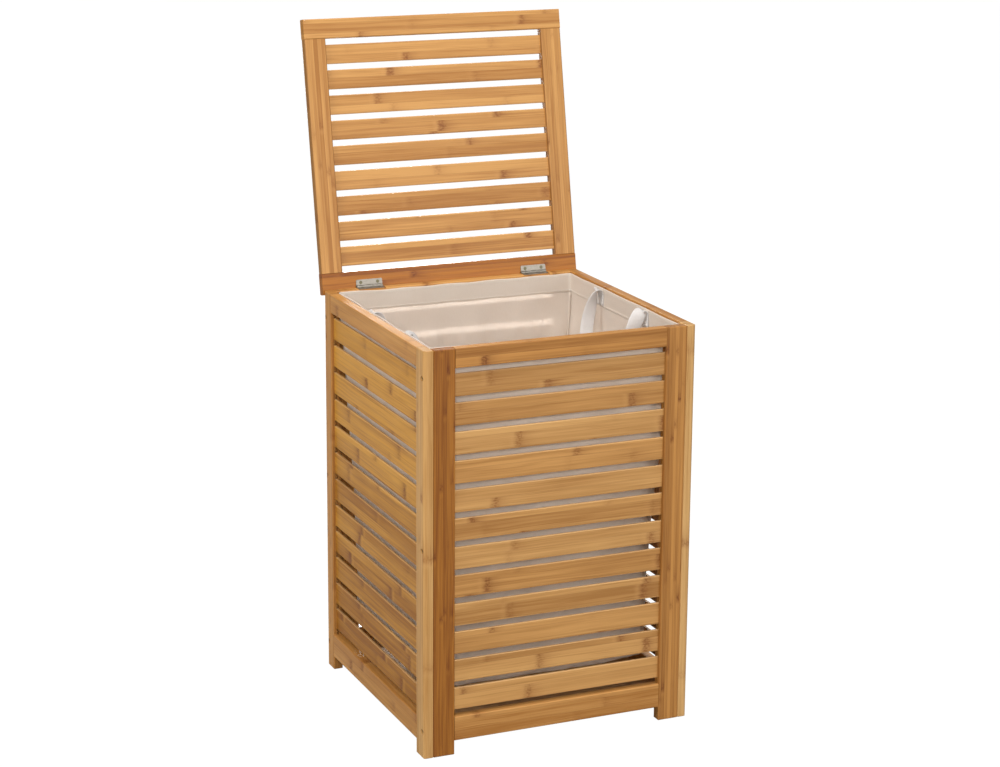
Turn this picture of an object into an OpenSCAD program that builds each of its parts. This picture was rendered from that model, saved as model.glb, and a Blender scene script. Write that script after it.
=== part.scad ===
// Laundry hamper with a slatted frame, a hinged slatted lid and a fabric liner.
// Millimetres, +Z up. The origin lies on the floor under the centre of the frame,
// +X points to the right and -Y to the front. The lid is drawn open, at its stop.

/* [Frame] */
// Overall width of the frame
body_w = 400; // [360:5:480]
// Overall depth of the frame
body_d = 386; // [340:2:460]
// Height of the frame from the floor to the rim
body_h = 570; // [520:5:620]
// Thickness of every stile and rail of the four panels
panel_t = 14; // [12:1:18]
// Height of the feet below the bottom rails
foot_h = 20; // [12:1:40]
// Height of the four top rails
top_rail_h = 27; // [22:1:36]
// Height of the four bottom rails
bottom_rail_h = 34.5; // [26:0.5:40]
// Width of the stiles of the front and rear panels
front_stile_w = 31; // [24:1:40]
// Width of the stiles of the two side panels
side_stile_w = 28; // [24:1:36]
// Radius of the four upright corners of the frame
corner_r = 6; // [2:0.5:8]
// Radius that eases the long edges of rails, stiles and slats
edge_r = 1.5; // [0.5:0.25:2]

/* [Slats] */
// Number of slats in each panel
panel_slats = 12; // [10:1:13]
// Height of a panel slat
slat_h = 31.6; // [26:0.2:33]
// Thickness of a slat
slat_t = 4.5; // [4:0.5:8]
// Depth that slat ends and rail tenons reach into the stiles
mortise_depth = 7; // [5:1:9]

/* [Base board] */
// Thickness of the base board
board_t = 4; // [3:0.5:6]
// Height of the underside of the base board above the floor
board_z = 30; // [26:1:40]
// Depth of the grooves in the bottom rails that hold the board
groove_depth = 5; // [4:1:8]

/* [Lid] */
// Width of the lid
lid_w = 402; // [400:1:410]
// Thickness of the lid frame
lid_t = 13; // [11:1:16]
// Distance that the closed lid passes the front of the frame
lid_front_over = 1; // [0:0.5:4]
// Angle of the open lid from closed
lid_open = 101; // [95:0.5:108]
// Width of the lid's front rail
lid_front_rail_w = 28.5; // [24:0.5:36]
// Width of the lid's hinge rail
lid_hinge_rail_w = 31; // [28:0.5:38]
// Width of the lid's two stiles
lid_stile_w = 32; // [26:1:38]
// Number of slats in the lid
lid_slats = 9; // [7:1:9]
// Width of a lid slat
lid_slat_w = 27.8; // [24:0.2:29]

/* [Hinges] */
// Length of a hinge along its pin
hinge_l = 40; // [36:1:50]
// Distance from each side of the frame to the middle of its hinge
hinge_inset = 70; // [40:1:110]
// Width of a hinge leaf from the pin's axis
leaf_w = 10.5; // [10:0.5:13]
// Thickness of a hinge leaf
leaf_t = 1.2; // [1:0.1:1.5]
// Outer radius of the hinge knuckles
knuckle_r = 2.4; // [2.2:0.1:3]
// Radius of the hinge pin
pin_r = 1.2; // [1:0.1:1.4]
// Number of knuckles of a hinge
knuckles = 5; // [3:2:7]
// Depth that the body leaves are let into the rear rail
leaf_inset = 0.6; // [0:0.1:1]

/* [Panel screws] */
// Heights of the screws in each corner, from the floor
screw_z = [38, 295, 532];
// Diameter of the screw's shank
screw_d = 4; // [3:0.5:5]
// Overall length of the screw
screw_l = 34; // [28:1:36]
// Diameter of the screw's head
screw_head_d = 7; // [6:0.5:8]
// Height of the screw's head
screw_head_h = 2.5; // [2:0.5:4]
// Depth of the screw's head below the stile's face
screw_recess = 2; // [1:0.5:4]

/* [Liner] */
// Height of the liner's mouth above the floor
liner_top = 567; // [510:1:568]
// Distance from the rails to the liner's outer face
liner_gap = 1.4; // [1:0.2:3]
// Thickness of the liner's solid wall
liner_t = 1.6; // [1:0.2:3]
// Height of the liner's bottom above the floor
liner_z = 86; // [60:2:140]
// Height of the liner's upper part, where it hangs straight
liner_straight_h = 130; // [80:10:200]
// Distance that the liner pulls in below its straight part
liner_inset = 18; // [4:1:30]
// Height of the hem round the liner's mouth
hem_h = 27; // [10:1:40]
// Width of the webbing handles
handle_w = 20; // [15:1:30]
// Distance between the two ends of a handle, middle to middle
handle_span = 112; // [80:2:130]
// Depth that a handle hangs down from its ends
handle_drop = 62; // [40:2:90]
// Thickness of the webbing
handle_t = 1.6; // [1:0.2:3]

/* [Hidden] */

$fn = 48;
eps = 0.1;             // how far a cutter passes the face it cuts
fit = 0.1;             // clearance between a part and the pocket that holds it
bamboo = [0.78, 0.59, 0.36];
bamboo_dark = [0.72, 0.51, 0.29];
steel = [0.70, 0.69, 0.67];
cloth = [0.88, 0.84, 0.78];
cloth_white = [0.95, 0.93, 0.90];
plywood = [0.62, 0.46, 0.30];

front_clear = body_w - 2 * panel_t - 2 * front_stile_w;
side_clear = body_d - 2 * side_stile_w;
top_rail_z = body_h - top_rail_h;
slat_zone_z = foot_h + bottom_rail_h;
slat_gap = (top_rail_z - slat_zone_z - panel_slats * slat_h) / (panel_slats + 1);
slat_pitch = slat_h + slat_gap;
tenon_t = 6;           // thickness of a rail's tenon
tenon_shoulder = 4;    // distance from a rail's edges to its tenon
end_chamfer = 1;       // chamfer round the ends of the stiles

leaf_play = 0.1;       // space between the two leaves when the lid is closed
leaf_face = leaf_t + leaf_play / 2;    // distance from the pin's axis to a leaf's back
axis_y = body_d / 2;
axis_z = body_h - leaf_inset + leaf_face;
lid_z = axis_z + leaf_face;
lid_edge_r = 2;        // radius that eases the lid's outer edges
stop_play = 0.06;      // space left between the lip and the rear panel at the stop

// Distance from the pin's axis to the lid's rear edge, so that the eased edge
// of the lip meets the rear panel exactly when the lid stands at lid_open
lid_lip = lid_edge_r
    + ((leaf_face + lid_edge_r) * sin(lid_open) - lid_edge_r - stop_play)
    / -cos(lid_open);
lid_front_y = -body_d / 2 - lid_front_over;
lid_rear_y = axis_y + lid_lip;
lid_clear_x = lid_w - 2 * lid_stile_w;
lid_clear_y = lid_rear_y - lid_front_y - lid_front_rail_w - lid_hinge_rail_w;
lid_gap = (lid_clear_y - lid_slats * lid_slat_w) / (lid_slats + 1);
lid_slat_pitch = lid_slat_w + lid_gap;

hinge_x = body_w / 2 - hinge_inset;
knuckle_l = hinge_l / knuckles;
knuckle_play = 0.2;    // space between neighbouring knuckles
pin_play = 0.05;       // radial space between the pin and a knuckle
gain_play = 0.4;       // radial space between a knuckle and the wood
leaf_screw_x = 13;     // distance of a leaf's screws from its middle
leaf_screw_y = 6.2;    // distance of a leaf's screws from the pin's axis
leaf_screw_d = 2.6;
leaf_screw_head_d = 5;
leaf_screw_l = 10;
leaf_corner_r = 2;     // radius of a leaf's two outer corners
cross_l = 3.2;         // length of the cross slots in a leaf screw's head
cross_w = 0.7;         // width of the cross slots
cross_h = 0.5;         // depth of the cross slots
seat_play = 0.5;       // space at each end of a leaf's seat in the rear rail
throat_y = 4.5;        // depth of the open notch in front of a seat
throat_h = 1.8;        // height of that notch below the seat
socket_d = 4;          // size across the corners of a panel screw's hex socket
socket_h = 1.5;        // depth of that socket

liner_x = body_w / 2 - panel_t - liner_gap;
liner_y = body_d / 2 - panel_t - liner_gap;
liner_r = 20;          // radius of the liner's upright corners
ring_steps = 6;        // straight pieces in each rounded corner of the liner
strip_h = 16;          // height of the hook-and-loop strips
strip_t = 1;           // thickness of the hook-and-loop strips
strip_margin = 10;     // distance from a stile to the end of a strip
hem_t = 1;             // thickness of the hem inside the liner
hem_play = 0.2;        // space between the liner's wall, the hem and the handles

// ---------------------------------------------------------------- profiles

// What an eased corner of radius r takes away from a square corner at the origin
module corner_cut(r) {
    difference() {
        translate([-eps, -eps]) square(r + eps);
        translate([r, r]) circle(r);
    }
}

// Rectangle centred on the origin with a radius for each corner, in the order
// left-bottom, right-bottom, right-top, left-top
module eased_rect(w, h, r) {
    difference() {
        square([w, h], center = true);
        translate([-w / 2, -h / 2]) corner_cut(r[0]);
        translate([w / 2, -h / 2]) mirror([1, 0]) corner_cut(r[1]);
        translate([w / 2, h / 2]) rotate(180) corner_cut(r[2]);
        translate([-w / 2, h / 2]) mirror([0, 1]) corner_cut(r[3]);
    }
}

// Bar along X, centred, y deep and z high, with its four long edges eased
module bar_x(length, y, z, r = edge_r) {
    rotate([90, 0, 90]) linear_extrude(length, center = true) eased_rect(y, z, [r, r, r, r]);
}

// ---------------------------------------------------------------- panels
// A panel is drawn in the XZ plane round x = 0 with its outer face towards -Y.

module on_front() { translate([0, -(body_d - panel_t) / 2, 0]) children(); }
module on_rear() { rotate(180) on_front() children(); }
module on_left() { rotate(-90) translate([0, -(body_w - panel_t) / 2, 0]) children(); }
module on_right() { rotate(180) on_left() children(); }

// Heights of the undersides of the slats, from the lowest up
function slat_bottom(i) = slat_zone_z + slat_gap + i * slat_pitch;

module slat(clear, i) {
    length = clear + 2 * (mortise_depth - fit);
    translate([0, 0, slat_bottom(i) + slat_h / 2]) bar_x(length, slat_t, slat_h);
}

module slats(clear) {
    for (i = [0 : panel_slats - 1]) slat(clear, i);
}

// Rail between two stiles, with a tenon at each end
module rail(clear, z, h) {
    tenon_l = clear + 2 * (mortise_depth - fit);
    translate([0, 0, z + h / 2]) {
        bar_x(clear, panel_t, h);
        cube([tenon_l, tenon_t, h - 2 * tenon_shoulder], center = true);
    }
}

module top_rail(clear) { rail(clear, top_rail_z, top_rail_h); }

// Bottom rail with a groove along its inner face for the base board
module bottom_rail(clear) {
    difference() {
        rail(clear, foot_h, bottom_rail_h);
        translate([-clear / 2 - eps, panel_t / 2 - groove_depth, board_z])
            cube([clear + 2 * eps, groove_depth + eps, board_t + fit]);
    }
}

// Pocket for a tenon or for slats' ends, cut into a stile whose inner edge is at x = 0
module pocket(z, h, t) {
    translate([-mortise_depth, -t / 2, z]) cube([mortise_depth + eps, t, h]);
}

// Mortises for the two rails, and between them one groove for the ends of the slats
module mortises() {
    pocket(top_rail_z + tenon_shoulder, top_rail_h - 2 * tenon_shoulder, tenon_t);
    pocket(foot_h + tenon_shoulder, bottom_rail_h - 2 * tenon_shoulder, tenon_t);
    pocket(slat_zone_z, top_rail_z - slat_zone_z, slat_t);
}

// Cutter that chamfers the four edges round the end of a w by t post at the origin
module end_cut(w, t) {
    side = end_chamfer * sqrt(2);
    for (x = [-w / 2, w / 2])
        translate([x, 0, 0]) rotate([0, 45, 0])
            cube([side, t + 2 * eps, side], center = true);
    for (y = [-t / 2, t / 2])
        translate([0, y, 0]) rotate([45, 0, 0])
            cube([w + 2 * eps, side, side], center = true);
}

// Stile on the left of a panel, its inner edge at x = 0; outer_r rounds the
// upright edge between its outer edge and its outer face
module stile(w, outer_r) {
    difference() {
        translate([-w / 2, 0, 0])
            difference() {
                linear_extrude(body_h) eased_rect(w, panel_t, [outer_r, edge_r, edge_r, edge_r]);
                end_cut(w, panel_t);
                translate([0, 0, body_h]) end_cut(w, panel_t);
            }
        mortises();
    }
}

// Bores for the panel screws through a side stile, in the thickness direction
module side_screw_bores() {
    x = -side_stile_w + panel_t / 2;
    counterbore = screw_recess + screw_head_h;
    for (z = screw_z) translate([x, -panel_t / 2, z]) rotate([-90, 0, 0]) {
        translate([0, 0, -eps]) cylinder(d = screw_head_d + 2 * fit, h = counterbore + eps);
        cylinder(d = screw_d + fit, h = panel_t + eps);
    }
}

// Blind bores for the panel screws in the outer edge of a front or rear stile
module front_screw_bores() {
    depth = screw_recess + screw_l - panel_t + fit;
    for (z = screw_z) translate([-front_stile_w - eps, 0, z]) rotate([0, 90, 0])
        cylinder(d = screw_d + fit, h = depth + eps);
}

module side_stile() {
    translate([-side_clear / 2, 0, 0]) difference() {
        stile(side_stile_w, corner_r);
        side_screw_bores();
    }
}

module front_stile() {
    translate([-front_clear / 2, 0, 0]) difference() {
        stile(front_stile_w, edge_r);
        front_screw_bores();
    }
}

module mirrored() { mirror([1, 0, 0]) children(); }

module left_panel_rear_stile() { color(bamboo) on_left() side_stile(); }
module left_panel_front_stile() { color(bamboo) on_left() mirrored() side_stile(); }
module left_panel_top_rail() { color(bamboo) on_left() top_rail(side_clear); }
module left_panel_bottom_rail() { color(bamboo) on_left() bottom_rail(side_clear); }
module left_panel_slats() { color(bamboo) on_left() slats(side_clear); }

module right_panel_front_stile() { color(bamboo) on_right() side_stile(); }
module right_panel_rear_stile() { color(bamboo) on_right() mirrored() side_stile(); }
module right_panel_top_rail() { color(bamboo) on_right() top_rail(side_clear); }
module right_panel_bottom_rail() { color(bamboo) on_right() bottom_rail(side_clear); }
module right_panel_slats() { color(bamboo) on_right() slats(side_clear); }

module front_panel_left_stile() { color(bamboo_dark) on_front() front_stile(); }
module front_panel_right_stile() { color(bamboo_dark) on_front() mirrored() front_stile(); }
module front_panel_top_rail() { color(bamboo) on_front() top_rail(front_clear); }
module front_panel_bottom_rail() { color(bamboo) on_front() bottom_rail(front_clear); }
// Slat number i of the front panel, counted from the rim down
module front_slat(i) { color(bamboo) on_front() slat(front_clear, panel_slats - i); }

module rear_panel_right_stile() { color(bamboo) on_rear() front_stile(); }
module rear_panel_left_stile() { color(bamboo) on_rear() mirrored() front_stile(); }
module rear_panel_bottom_rail() { color(bamboo) on_rear() bottom_rail(front_clear); }
module rear_panel_slats() { color(bamboo) on_rear() slats(front_clear); }

// The rear top rail has a seat for each hinge's leaf and a gain for its knuckles
module rear_panel_top_rail() {
    color(bamboo) difference() {
        on_rear() top_rail(front_clear);
        leaf_seats();
        hinge_gains();
        leaf_screw_bores();
    }
}

// ---------------------------------------------------------------- base board

// The board fills the space inside the rails, with a tongue in each rail's groove
module base_board() {
    in_x = body_w - 2 * panel_t - 2 * fit;
    in_y = body_d - 2 * panel_t - 2 * fit;
    tongue = 2 * (groove_depth - fit);
    color(plywood) translate([0, 0, board_z + board_t / 2]) {
        cube([in_x, in_y, board_t], center = true);
        cube([in_x + tongue, side_clear - 2 * fit, board_t], center = true);
        cube([front_clear - 2 * fit, in_y + tongue, board_t], center = true);
    }
}

// ---------------------------------------------------------------- panel screws

// Socket-head screw with its head at the origin, driven towards +Z
module panel_screw() {
    difference() {
        cylinder(d = screw_head_d, h = screw_head_h);
        translate([0, 0, -eps]) cylinder(d = socket_d, h = socket_h + eps, $fn = 6);
    }
    translate([0, 0, screw_head_h]) cylinder(d = screw_d, h = screw_l - screw_head_h);
}

module panel_screws() {
    x = body_w / 2 - screw_recess;
    y = (body_d - panel_t) / 2;
    color(steel) for (sx = [-1, 1], sy = [-1, 1], z = screw_z)
        translate([sx * x, sy * y, z]) rotate([0, -90 * sx, 0]) panel_screw();
}

// ---------------------------------------------------------------- liner

// Points round a rounded rectangle with half sides x and y, anticlockwise from above
function liner_ring(x, y, r, z) = [
    for (q = [0 : 3], k = [0 : ring_steps])
        let (a = 90 * (q + k / ring_steps), sx = [1, -1, -1, 1][q], sy = [1, 1, -1, -1][q])
        [sx * (x - r) + r * cos(a), sy * (y - r) + r * sin(a), z]
];

// Ring of the liner's wall, drawn in by inset from its straight part and by t
// from its outer face
function wall_ring(inset, t, z) =
    liner_ring(liner_x - inset - t, liner_y - inset - t, liner_r - t, z);

// Fabric bag: it hangs straight from the rim, then pulls in towards its bottom.
// The rings run up its outer face and down its inner face.
module liner_bag() {
    bend_z = liner_top - liner_straight_h;
    rings = [
        wall_ring(liner_inset, 0, liner_z),
        wall_ring(0, 0, bend_z),
        wall_ring(0, 0, liner_top),
        wall_ring(0, liner_t, liner_top),
        wall_ring(0, liner_t, bend_z),
        wall_ring(liner_inset, liner_t, liner_z + liner_t),
    ];
    n = len(rings[0]);
    last = len(rings) - 1;
    walls = [
        for (i = [0 : last - 1], j = [0 : n - 1])
            let (k = (j + 1) % n)
            [i * n + j, (i + 1) * n + j, (i + 1) * n + k, i * n + k]
    ];
    foot = [for (j = [0 : n - 1]) j];
    floor_inside = [for (j = [n - 1 : -1 : 0]) last * n + j];
    color(cloth) polyhedron([for (ring = rings) each ring], concat(walls, [foot, floor_inside]));
}

// Doubled band sewn round the inside of the mouth
module liner_hem() {
    x = 2 * (liner_x - liner_t - hem_play);
    y = 2 * (liner_y - liner_t - hem_play);
    r = liner_r - liner_t;
    color(cloth_white) translate([0, 0, liner_top - hem_h]) linear_extrude(hem_h)
        difference() {
            eased_rect(x, y, [r, r, r, r]);
            eased_rect(x - 2 * hem_t, y - 2 * hem_t, [r, r, r, r] - [1, 1, 1, 1] * hem_t);
        }
}

// Webbing handle seen from inside: a loop that hangs from its two sewn ends
module handle_loop() {
    top = liner_top - hem_h / 2;
    outer_r = (handle_span + handle_w) / 2;
    inner_r = outer_r - handle_w;
    leg = max(handle_drop - outer_r, 1);
    linear_extrude(handle_t, center = true) {
        for (sx = [-1, 1]) translate([sx * handle_span / 2 - handle_w / 2, top - leg])
            square([handle_w, leg]);
        difference() {
            translate([0, top - leg]) circle(outer_r);
            translate([0, top - leg]) circle(inner_r);
            translate([-outer_r - eps, top - leg]) square([2 * outer_r + 2 * eps, outer_r + eps]);
        }
    }
}

module liner_right_handle() {
    hem_face_x = liner_x - liner_t - hem_play - hem_t;
    color(cloth_white) translate([hem_face_x - handle_t / 2, 0, 0]) rotate([90, 0, 90])
        handle_loop();
}

module liner_left_handle() { mirrored() liner_right_handle(); }

// Strips on the inner faces of the top rails that hold the liner up
module hook_and_loop_strips() {
    z = body_h - top_rail_h / 2 - strip_h / 2;
    long_x = front_clear - 2 * strip_margin;
    long_y = side_clear - 2 * strip_margin;
    color(cloth_white) translate([0, 0, z]) for (s = [-1, 1]) {
        translate([-long_x / 2, s * (body_d / 2 - panel_t - strip_t / 2) - strip_t / 2, 0])
            cube([long_x, strip_t, strip_h]);
        translate([s * (body_w / 2 - panel_t - strip_t / 2) - strip_t / 2, -long_y / 2, 0])
            cube([strip_t, long_y, strip_h]);
    }
}

// ---------------------------------------------------------------- hinges
// Everything of the lid is drawn closed and turned about the pin by open_lid().

module open_lid() {
    translate([0, axis_y, axis_z]) rotate([-lid_open, 0, 0]) translate([0, -axis_y, -axis_z])
        children();
}

module at_left_hinge() { translate([-hinge_x, axis_y, axis_z]) children(); }
module at_right_hinge() { translate([hinge_x, axis_y, axis_z]) children(); }
module at_hinges() {
    at_left_hinge() children();
    at_right_hinge() children();
}

// Cylinder along X about the pin's axis
module round_x(r, length, x = 0) {
    translate([x, 0, 0]) rotate([0, 90, 0]) cylinder(r = r, h = length, center = true);
}

// Grooves that give the knuckles room in the wood
module hinge_gains() { at_hinges() round_x(knuckle_r + gain_play, hinge_l + 2 * seat_play); }

// Shallow seats for the body leaves, each with a deeper notch in front that opens
// through the rail's inner face
module leaf_seats() {
    l = hinge_l + 2 * seat_play;
    h = leaf_inset + throat_h + 2 * eps;
    at_hinges() translate([-l / 2, -panel_t - eps, -leaf_face]) {
        cube([l, panel_t + 2 * eps, h]);
        translate([0, 0, -throat_h]) cube([l, throat_y + eps, h]);
    }
}

function knuckle_x(i) = (i + 0.5) * knuckle_l - hinge_l / 2;

// Leaf about the pin's axis; its plate lies towards -Y and just above the axis,
// its back is leaf_face above the axis, and it owns every second knuckle
module leaf(first) {
    difference() {
        union() {
            translate([0, -leaf_w / 2, leaf_play / 2])
                linear_extrude(leaf_t)
                    eased_rect(hinge_l, leaf_w, [leaf_corner_r, leaf_corner_r, eps, eps]);
            for (i = [first : 2 : knuckles - 1])
                round_x(knuckle_r, knuckle_l - knuckle_play, knuckle_x(i));
        }
        for (i = [1 - first : 2 : knuckles - 1])
            round_x(knuckle_r + knuckle_play, knuckle_l + knuckle_play, knuckle_x(i));
        round_x(pin_r + pin_play, hinge_l + 2 * eps);
        for (sx = [-1, 1]) translate([sx * leaf_screw_x, -leaf_screw_y, leaf_play / 2 - eps]) {
            cylinder(d = leaf_screw_d + fit, h = leaf_t + 2 * eps);
            cylinder(d1 = leaf_screw_head_d + 2 * eps, d2 = leaf_screw_d + fit, h = leaf_t + eps);
        }
    }
}

// Two countersunk screws of one leaf
module leaf_screws() {
    for (sx = [-1, 1]) translate([sx * leaf_screw_x, -leaf_screw_y, leaf_play / 2]) {
        difference() {
            cylinder(d1 = leaf_screw_head_d - fit, d2 = leaf_screw_d, h = leaf_t);
            for (a = [0, 90]) rotate(a) cube([cross_l, cross_w, 2 * cross_h], center = true);
        }
        cylinder(d = leaf_screw_d, h = leaf_screw_l);
    }
}

// Blind bores, a little longer than the screws
module leaf_screw_bore_pair() {
    for (sx = [-1, 1]) translate([sx * leaf_screw_x, -leaf_screw_y, 0])
        cylinder(d = leaf_screw_d + fit, h = leaf_screw_l + leaf_play);
}

// Bores for the leaf screws in the rear top rail
module leaf_screw_bores() { at_hinges() mirror([0, 0, 1]) leaf_screw_bore_pair(); }

module left_hinge_body_leaf() { color(steel) at_left_hinge() mirror([0, 0, 1]) leaf(0); }
module right_hinge_body_leaf() { color(steel) at_right_hinge() mirror([0, 0, 1]) leaf(0); }
module left_hinge_lid_leaf() { color(steel) open_lid() at_left_hinge() leaf(1); }
module right_hinge_lid_leaf() { color(steel) open_lid() at_right_hinge() leaf(1); }
module left_hinge_pin() { color(steel) at_left_hinge() round_x(pin_r, hinge_l); }
module right_hinge_pin() { color(steel) at_right_hinge() round_x(pin_r, hinge_l); }
module hinge_body_screws() { color(steel) at_hinges() mirror([0, 0, 1]) leaf_screws(); }
module hinge_lid_screws() { color(steel) open_lid() at_hinges() leaf_screws(); }

// ---------------------------------------------------------------- lid

// Full-width rail of the lid whose front edge is at y
module lid_rail(y, w) {
    translate([0, y + w / 2, lid_z + lid_t / 2]) bar_x(lid_w, w, lid_t, lid_edge_r);
}

// Sockets for the tenons of the lid's stiles, in a rail at y
module lid_tenon_sockets(y) {
    for (sx = [-1, 1])
        translate([sx * (lid_w - lid_stile_w) / 2, y, lid_z + lid_t / 2])
            cube([lid_stile_w - 2 * tenon_shoulder, 2 * mortise_depth, tenon_t], center = true);
}

module lid_front_rail() {
    color(bamboo) open_lid() difference() {
        lid_rail(lid_front_y, lid_front_rail_w);
        lid_tenon_sockets(lid_front_y + lid_front_rail_w);
    }
}

module lid_hinge_rail() {
    color(bamboo_dark) open_lid() difference() {
        lid_rail(lid_rear_y - lid_hinge_rail_w, lid_hinge_rail_w);
        lid_tenon_sockets(lid_rear_y - lid_hinge_rail_w);
        hinge_gains();
        at_hinges() leaf_screw_bore_pair();
    }
}

// Rear edge of slat number i of the lid, counted from its front rail
function lid_slat_y(i) = lid_front_y + lid_front_rail_w + (i - 1) * lid_slat_pitch + lid_gap;

// Stile on the lid's left, between the two rails, with a tenon at each end
module lid_stile() {
    y = lid_front_y + lid_front_rail_w + lid_clear_y / 2;
    tenon_l = lid_clear_y + 2 * (mortise_depth - fit);
    translate([-(lid_w - lid_stile_w) / 2, 0, lid_z + lid_t / 2]) difference() {
        translate([0, y, 0]) {
            rotate([90, 0, 0]) linear_extrude(lid_clear_y, center = true)
                eased_rect(lid_stile_w, lid_t, [lid_edge_r, edge_r, edge_r, lid_edge_r]);
            cube([lid_stile_w - 2 * tenon_shoulder - 2 * fit, tenon_l, tenon_t - 2 * fit],
                center = true);
        }
        for (i = [1 : lid_slats])
            translate([lid_stile_w / 2 - mortise_depth, lid_slat_y(i), -slat_t / 2])
                cube([mortise_depth + eps, lid_slat_w, slat_t]);
    }
}

module lid_left_stile() { color(bamboo) open_lid() lid_stile(); }
module lid_right_stile() { color(bamboo) open_lid() mirrored() lid_stile(); }

module lid_slat(i) {
    length = lid_clear_x + 2 * (mortise_depth - fit);
    color(bamboo) open_lid() translate([0, lid_slat_y(i) + lid_slat_w / 2, lid_z + lid_t / 2])
        bar_x(length, lid_slat_w, slat_t);
}

// ---------------------------------------------------------------- drawing

left_panel_front_stile();
left_panel_rear_stile();
left_panel_top_rail();
left_panel_bottom_rail();
left_panel_slats();
right_panel_front_stile();
right_panel_rear_stile();
right_panel_top_rail();
right_panel_bottom_rail();
right_panel_slats();
front_panel_left_stile();
front_panel_right_stile();
front_panel_top_rail();
front_panel_bottom_rail();
front_slat(1);  // front_slat_01
front_slat(2);  // front_slat_02
front_slat(3);  // front_slat_03
front_slat(4);  // front_slat_04
front_slat(5);  // front_slat_05
front_slat(6);  // front_slat_06
front_slat(7);  // front_slat_07
front_slat(8);  // front_slat_08
front_slat(9);  // front_slat_09
front_slat(10);  // front_slat_10
front_slat(11);  // front_slat_11
front_slat(12);  // front_slat_12
rear_panel_left_stile();
rear_panel_right_stile();
rear_panel_top_rail();
rear_panel_bottom_rail();
rear_panel_slats();
base_board();
panel_screws();
liner_bag();
liner_hem();
liner_left_handle();
liner_right_handle();
hook_and_loop_strips();
left_hinge_body_leaf();
right_hinge_body_leaf();
left_hinge_lid_leaf();
right_hinge_lid_leaf();
left_hinge_pin();
right_hinge_pin();
hinge_body_screws();
hinge_lid_screws();
lid_front_rail();
lid_hinge_rail();
lid_left_stile();
lid_right_stile();
lid_slat(1);  // lid_slat_1
lid_slat(2);  // lid_slat_2
lid_slat(3);  // lid_slat_3
lid_slat(4);  // lid_slat_4
lid_slat(5);  // lid_slat_5
lid_slat(6);  // lid_slat_6
lid_slat(7);  // lid_slat_7
lid_slat(8);  // lid_slat_8
lid_slat(9);  // lid_slat_9
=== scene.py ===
"""Looks of a slatted bamboo laundry hamper with a hinged lid and a fabric liner.

Metres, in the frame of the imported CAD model: +X right, -Y front, +Z up.
"""

import math

import bpy
from mathutils import Matrix, Vector, noise


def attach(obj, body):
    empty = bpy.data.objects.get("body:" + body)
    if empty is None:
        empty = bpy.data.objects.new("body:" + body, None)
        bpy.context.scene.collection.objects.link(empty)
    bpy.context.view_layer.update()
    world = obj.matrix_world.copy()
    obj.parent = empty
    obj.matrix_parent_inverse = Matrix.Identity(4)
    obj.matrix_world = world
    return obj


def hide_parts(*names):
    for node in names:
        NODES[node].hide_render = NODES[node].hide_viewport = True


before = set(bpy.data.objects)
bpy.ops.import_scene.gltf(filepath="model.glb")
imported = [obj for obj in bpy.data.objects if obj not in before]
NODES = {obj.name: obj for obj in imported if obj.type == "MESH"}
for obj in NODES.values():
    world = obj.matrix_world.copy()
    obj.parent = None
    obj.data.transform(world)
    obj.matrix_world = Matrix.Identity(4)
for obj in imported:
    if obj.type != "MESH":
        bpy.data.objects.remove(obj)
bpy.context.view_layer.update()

BODY = "hamper_body"

# ---------------------------------------------------------------- sizes
SLAT_PITCH = 0.040008  # slat to slat in the panels
LOWEST_SLAT = 0.0629  # height of the lowest slat's underside
SLAT_MARGIN = 0.0042  # half of the gap between two slats
SLATS = 12  # slats in a panel
LID_LEAN = math.radians(11.0)  # how far the open lid leans back from upright

LINER_X = 0.1846  # outer face of the liner, half the width
LINER_Y = 0.1776  # outer face of the liner, half the depth
LINER_TOP = 0.567
LINER_BOTTOM = 0.086
LINER_R = 0.006  # radius of the liner's upright corners at its mouth
LINER_SAG = 0.012  # how far the middle of the liner's bottom hangs below its edge
LEFT_LIFT = 0.0020  # how much higher the liner's mouth sits along the left wall
CLOTH_T = 0.0007  # thickness of the fabric
HEM_H = 0.027
SEAM_W = 0.0048  # width of a seam allowance
SEAM_T = 0.0012  # thickness of a seam allowance, two layers of cloth
STITCH_L = 0.0031
STITCH_PITCH = 0.0040
THREAD_R = 0.00028
STITCH_ROWS = (0.0030, 0.0240)  # heights above the hem's lower edge
HEM_STITCH_INSET = 0.0013  # inset of the hem's stitches from the liner's outer face

HANDLE_W = 0.020
HANDLE_T = 0.0012
HANDLE_PATCH_Z = 0.5515  # height of the sewn square on a handle's end
HANDLE_PATCH = (0.008, 0.0065)  # half its width and half its height
HEM_FACE_X = LINER_X - 0.0021  # inner face of the hem, where the handles are sewn
HANDLE_FACE = 0.0015  # from the hem's inner face to the handle's inner face
# Name, side, y of both ends and how much higher the crest stands
HANDLES = (
    ("right_handle_strap", 1, 0.070, -0.074, 0.0),
    ("left_handle_strap", -1, 0.052, -0.084, 0.0014),
)

X_AXIS = Vector((1, 0, 0))
Y_AXIS = Vector((0, 1, 0))
Z_AXIS = Vector((0, 0, 1))
LID_UP = Vector((0, math.sin(LID_LEAN), math.cos(LID_LEAN)))
LID_BACK = Vector((0, math.cos(LID_LEAN), -math.sin(LID_LEAN)))


# ---------------------------------------------------------------- camera
CAMERA_TURN = (-23.606, 14.179, 0.418)  # azimuth, elevation and roll in degrees
CAMERA_PLACE = (-1.36434, -3.10466, 1.36497)
CAMERA_LENS = 89.64
CAMERA_SHIFT = -0.0335


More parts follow.
